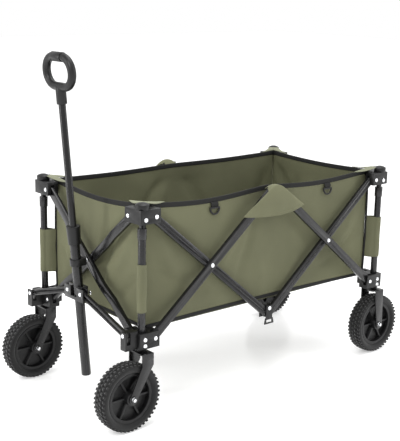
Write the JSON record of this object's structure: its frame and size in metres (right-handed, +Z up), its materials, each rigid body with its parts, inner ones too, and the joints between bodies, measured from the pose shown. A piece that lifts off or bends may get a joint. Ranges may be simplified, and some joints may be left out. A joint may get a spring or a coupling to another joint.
{
  "type": "folding camp wagon",
  "caption": "Folding camp wagon: scissor-jointed steel frame, fabric basket, swivelling front casters, fixed rear wheels and a telescoping pull handle.",
  "frame": {"origin": "on the ground, at the centre of the wagon's overall footprint", "axes": "+X towards the rear wheels, -X the handle end, +Y the wagon's right side, +Z up"},
  "size_m": [1.0908, 0.5094, 0.9085],
  "materials": {
    "black_steel": "satin powder coat",
    "black_plastic": "fine moulded texture",
    "rim_plastic": "moulded",
    "tyre_rubber": "rough",
    "olive_fabric": "coated polyester weave",
    "floor_fabric": "coated polyester weave",
    "black_webbing": "binding tape",
    "bright_steel": "zinc plated",
    "light_fabric": "polyester weave"
  },
  "bodies": {
    "front_left_lower": {"front_left_lower_bracket": "black_plastic", "front_left_lower_post": "black_steel"},
    "front_left_upper": {"front_left_upper_bracket": "black_plastic", "front_left_upper_post": "black_steel", "left_side_fabric": "olive_fabric", "front_end_fabric": "olive_fabric"},
    "front_right_lower": {"front_right_lower_bracket": "black_plastic", "front_right_lower_post": "black_steel"},
    "front_right_upper": {"front_right_upper_bracket": "black_plastic", "front_right_upper_post": "black_steel", "right_side_fabric": "olive_fabric"},
    "rear_left_lower": {"rear_left_lower_bracket": "black_plastic", "rear_left_lower_post": "black_steel", "rear_left_fork": "black_steel"},
    "rear_left_upper": {"rear_left_upper_bracket": "black_plastic", "rear_left_upper_post": "black_steel", "rear_end_fabric": "olive_fabric"},
    "rear_right_lower": {"rear_right_lower_bracket": "black_plastic", "rear_right_lower_post": "black_steel", "rear_right_fork": "black_steel"},
    "rear_right_upper": {"rear_right_upper_bracket": "black_plastic", "rear_right_upper_post": "black_steel"},
    "left_lower_centre": {"left_lower_centre": "black_plastic"},
    "right_lower_centre": {"right_lower_centre": "black_plastic"},
    "left_upper_centre": {"left_upper_centre": "black_plastic", "left_flap": "light_fabric"},
    "right_upper_centre": {"right_upper_centre": "black_plastic", "right_flap": "light_fabric"},
    "front_end_a": {"front_end_bar_a": "black_steel"},
    "front_end_b": {"front_end_bar_b": "black_steel"},
    "rear_end_a": {"rear_end_bar_a": "black_steel"},
    "rear_end_b": {"rear_end_bar_b": "black_steel"},
    "left_hub_link": {"left_hub_link": "black_steel"},
    "right_hub_link": {"right_hub_link": "black_steel"},
    "handle_hub": {"handle_hub": "black_steel"},
    "front_left_caster": {"front_left_fork": "black_steel"},
    "front_right_caster": {"front_right_fork": "black_steel"},
    "handle": {"handle_outer_tube": "black_steel", "handle_collar": "black_plastic", "handle_clip": "black_plastic"},
    "handle_slider": {"handle_inner_tube": "black_steel", "handle_grip": "black_plastic"},
    "left_floor": {"left_floor_fabric": "floor_fabric"},
    "right_floor": {"right_floor_fabric": "floor_fabric"},
    "front_left_rise": {"front_left_rise_bar": "black_steel"},
    "front_left_fall": {"front_left_fall_bar": "black_steel"},
    "front_left_wheel": {"front_left_rim": "rim_plastic", "front_left_tyre": "tyre_rubber"},
    "front_right_rise": {"front_right_rise_bar": "black_steel"},
    "front_right_fall": {"front_right_fall_bar": "black_steel"},
    "front_right_wheel": {"front_right_rim": "rim_plastic", "front_right_tyre": "tyre_rubber"},
    "rear_left_rise": {"rear_left_rise_bar": "black_steel"},
    "rear_left_fall": {"rear_left_fall_bar": "black_steel"},
    "rear_left_wheel": {"rear_left_rim": "rim_plastic", "rear_left_tyre": "tyre_rubber"},
    "rear_right_rise": {"rear_right_rise_bar": "black_steel"},
    "rear_right_fall": {"rear_right_fall_bar": "black_steel"},
    "rear_right_wheel": {"rear_right_rim": "rim_plastic", "rear_right_tyre": "tyre_rubber"}
  },
  "joints": [
    {"name": "fold", "type": "hinge", "parent": "left_lower_centre", "child": "front_left_fall", "pos_m": [0.006, -0.21569, 0.21073], "axis": [0, 1, 0], "range_deg": [0, 40.5], "deforming": ["left_side_fabric", "right_side_fabric", "left_floor_fabric", "right_floor_fabric", "left_flap", "right_flap", "front_end_fabric", "rear_end_fabric"]},
    {"name": "front_left_mid_pivot", "type": "hinge", "parent": "front_left_fall", "child": "front_left_rise", "pos_m": [-0.19771, -0.22669, 0.37866], "axis": [0, -1, 0], "range_deg": [0, 81.01]},
    {"name": "front_left_upper_pivot", "type": "hinge", "parent": "front_left_fall", "child": "front_left_upper", "pos_m": [-0.3829, -0.21569, 0.53132], "axis": [0, -1, 0], "range_deg": [0, 40.51]},
    {"name": "front_left_lower_pivot", "type": "hinge", "parent": "front_left_rise", "child": "front_left_lower", "pos_m": [-0.3829, -0.22669, 0.226], "axis": [0, -1, 0], "range_deg": [-40.51, 0]},
    {"name": "left_upper_centre_pivot", "type": "hinge", "parent": "front_left_rise", "child": "left_upper_centre", "pos_m": [0.006, -0.22669, 0.54658], "axis": [0, -1, 0], "range_deg": [-40.51, 0]},
    {"name": "rear_left_centre_pivot", "type": "hinge", "parent": "left_lower_centre", "child": "rear_left_fall", "pos_m": [0.03, -0.21569, 0.21073], "axis": [0, -1, 0], "range_deg": [0, 40.51]},
    {"name": "rear_left_mid_pivot", "type": "hinge", "parent": "rear_left_fall", "child": "rear_left_rise", "pos_m": [0.23371, -0.22669, 0.37866], "axis": [0, -1, 0], "range_deg": [-81.01, 0]},
    {"name": "rear_left_lower_pivot", "type": "hinge", "parent": "rear_left_rise", "child": "rear_left_lower", "pos_m": [0.4189, -0.22669, 0.226], "axis": [0, -1, 0], "range_deg": [0, 40.51]},
    {"name": "rear_left_upper_pivot", "type": "hinge", "parent": "rear_left_fall", "child": "rear_left_upper", "pos_m": [0.4189, -0.21569, 0.53132], "axis": [0, -1, 0], "range_deg": [-40.51, 0]},
    {"name": "front_end_a_pivot", "type": "hinge", "parent": "front_left_lower", "child": "front_end_a", "pos_m": [-0.4149, -0.18519, 0.226], "axis": [1, 0, 0], "range_deg": [0, 40.51]},
    {"name": "front_crossing", "type": "hinge", "parent": "front_end_a", "child": "front_end_b", "pos_m": [-0.4149, 0, 0.37866], "axis": [1, 0, 0], "range_deg": [-81.01, 0]},
    {"name": "front_right_upper_pivot", "type": "hinge", "parent": "front_end_a", "child": "front_right_upper", "pos_m": [-0.4149, 0.18519, 0.53132], "axis": [1, 0, 0], "range_deg": [-40.51, 0]},
    {"name": "front_right_lower_pivot", "type": "hinge", "parent": "front_end_b", "child": "front_right_lower", "pos_m": [-0.4149, 0.18519, 0.226], "axis": [1, 0, 0], "range_deg": [0, 40.51]},
    {"name": "rear_end_a_pivot", "type": "hinge", "parent": "rear_left_lower", "child": "rear_end_a", "pos_m": [0.4509, -0.18519, 0.226], "axis": [1, 0, 0], "range_deg": [0, 40.51]},
    {"name": "rear_crossing", "type": "hinge", "parent": "rear_end_a", "child": "rear_end_b", "pos_m": [0.4509, 0, 0.37866], "axis": [1, 0, 0], "range_deg": [-81.01, 0]},
    {"name": "rear_right_upper_pivot", "type": "hinge", "parent": "rear_end_a", "child": "rear_right_upper", "pos_m": [0.4509, 0.18519, 0.53132], "axis": [1, 0, 0], "range_deg": [-40.51, 0]},
    {"name": "rear_right_lower_pivot", "type": "hinge", "parent": "rear_end_b", "child": "rear_right_lower", "pos_m": [0.4509, 0.18519, 0.226], "axis": [1, 0, 0], "range_deg": [0, 40.51]},
    {"name": "front_right_rise_pivot", "type": "hinge", "parent": "front_right_lower", "child": "front_right_rise", "pos_m": [-0.3829, 0.22669, 0.226], "axis": [0, -1, 0], "range_deg": [0, 40.51]},
    {"name": "front_right_mid_pivot", "type": "hinge", "parent": "front_right_rise", "child": "front_right_fall", "pos_m": [-0.19771, 0.22669, 0.37866], "axis": [0, -1, 0], "range_deg": [-81.01, 0]},
    {"name": "right_lower_centre_pivot", "type": "hinge", "parent": "front_right_fall", "child": "right_lower_centre", "pos_m": [0.006, 0.21569, 0.21073], "axis": [0, -1, 0], "range_deg": [0, 40.51]},
    {"name": "right_upper_centre_pivot", "type": "hinge", "parent": "front_right_rise", "child": "right_upper_centre", "pos_m": [0.006, 0.22669, 0.54658], "axis": [0, -1, 0], "range_deg": [-40.51, 0]},
    {"name": "rear_right_rise_pivot", "type": "hinge", "parent": "rear_right_lower", "child": "rear_right_rise", "pos_m": [0.4189, 0.22669, 0.226], "axis": [0, -1, 0], "range_deg": [-40.51, 0]},
    {"name": "rear_right_mid_pivot", "type": "hinge", "parent": "rear_right_rise", "child": "rear_right_fall", "pos_m": [0.23371, 0.22669, 0.37866], "axis": [0, -1, 0], "range_deg": [0, 81.01]},
    {"name": "left_link_pivot", "type": "hinge", "parent": "front_left_lower", "child": "left_hub_link", "pos_m": [-0.4574, -0.21519, 0.243], "axis": [1, 0, 0], "range_deg": [0, 60.33]},
    {"name": "hub_left_pivot", "type": "hinge", "parent": "left_hub_link", "child": "handle_hub", "pos_m": [-0.4574, -0.029, 0.3], "axis": [1, 0, 0], "range_deg": [-60.33, 0]},
    {"name": "hub_right_pivot", "type": "hinge", "parent": "handle_hub", "child": "right_hub_link", "pos_m": [-0.4574, 0.029, 0.3], "axis": [1, 0, 0], "range_deg": [-60.33, 0]},
    {"name": "left_floor_hinge", "type": "hinge", "parent": "front_left_upper", "child": "left_floor", "pos_m": [0.018, -0.19389, 0.237], "axis": [1, 0, 0], "range_deg": [0, 76.26]},
    {"name": "right_floor_hinge", "type": "hinge", "parent": "front_right_upper", "child": "right_floor", "pos_m": [0.018, 0.19389, 0.237], "axis": [-1, 0, 0], "range_deg": [0, 76.26]},
    {"name": "front_left_swivel", "type": "hinge", "parent": "front_left_lower", "child": "front_left_caster", "pos_m": [-0.4149, -0.22119, 0.197], "axis": [0, 0, 1], "continuous": true},
    {"name": "front_left_wheel_spin", "type": "hinge", "parent": "front_left_caster", "child": "front_left_wheel", "pos_m": [-0.4579, -0.22119, 0.0875], "axis": [0, 1, 0], "continuous": true},
    {"name": "front_right_swivel", "type": "hinge", "parent": "front_right_lower", "child": "front_right_caster", "pos_m": [-0.4149, 0.22119, 0.197], "axis": [0, 0, 1], "continuous": true},
    {"name": "front_right_wheel_spin", "type": "hinge", "parent": "front_right_caster", "child": "front_right_wheel", "pos_m": [-0.4579, 0.22119, 0.0875], "axis": [0, 1, 0], "continuous": true},
    {"name": "rear_left_wheel_spin", "type": "hinge", "parent": "rear_left_lower", "child": "rear_left_wheel", "pos_m": [0.4579, -0.22119, 0.0875], "axis": [0, 1, 0], "continuous": true},
    {"name": "rear_right_wheel_spin", "type": "hinge", "parent": "rear_right_lower", "child": "rear_right_wheel", "pos_m": [0.4579, 0.22119, 0.0875], "axis": [0, 1, 0], "continuous": true},
    {"name": "handle_tilt", "type": "hinge", "parent": "handle_hub", "child": "handle", "pos_m": [-0.4494, 0, 0.3], "axis": [0, 1, 0], "range_deg": [-45, 0]},
    {"name": "handle_slide", "type": "slide", "parent": "handle", "child": "handle_slider", "axis": [0.0906, 0, -0.9959], "range_m": [0, 0.275]}
  ],
  "couplings": [
    {"joint": "front_left_mid_pivot", "follows": "fold", "ratio": 2},
    {"joint": "front_left_upper_pivot", "follows": "fold", "ratio": 1},
    {"joint": "front_left_lower_pivot", "follows": "fold", "ratio": -1},
    {"joint": "left_upper_centre_pivot", "follows": "fold", "ratio": -1},
    {"joint": "rear_left_centre_pivot", "follows": "fold", "ratio": 1},
    {"joint": "rear_left_mid_pivot", "follows": "fold", "ratio": -2},
    {"joint": "rear_left_lower_pivot", "follows": "fold", "ratio": 1},
    {"joint": "rear_left_upper_pivot", "follows": "fold", "ratio": -1},
    {"joint": "front_end_a_pivot", "follows": "fold", "ratio": 1},
    {"joint": "front_crossing", "follows": "fold", "ratio": -2},
    {"joint": "front_right_upper_pivot", "follows": "fold", "ratio": -1},
    {"joint": "front_right_lower_pivot", "follows": "fold", "ratio": 1},
    {"joint": "rear_end_a_pivot", "follows": "fold", "ratio": 1},
    {"joint": "rear_crossing", "follows": "fold", "ratio": -2},
    {"joint": "rear_right_upper_pivot", "follows": "fold", "ratio": -1},
    {"joint": "rear_right_lower_pivot", "follows": "fold", "ratio": 1},
    {"joint": "front_right_rise_pivot", "follows": "fold", "ratio": 1},
    {"joint": "front_right_mid_pivot", "follows": "fold", "ratio": -2},
    {"joint": "right_lower_centre_pivot", "follows": "fold", "ratio": 1},
    {"joint": "right_upper_centre_pivot", "follows": "fold", "ratio": -1},
    {"joint": "rear_right_rise_pivot", "follows": "fold", "ratio": -1},
    {"joint": "rear_right_mid_pivot", "follows": "fold", "ratio": 2},
    {"joint": "left_link_pivot", "follows": "fold", "ratio": 1.4893},
    {"joint": "hub_left_pivot", "follows": "fold", "ratio": -1.4893},
    {"joint": "hub_right_pivot", "follows": "fold", "ratio": -1.4893},
    {"joint": "left_floor_hinge", "follows": "fold", "ratio": 1.8827},
    {"joint": "right_floor_hinge", "follows": "fold", "ratio": 1.8827}
  ]
}
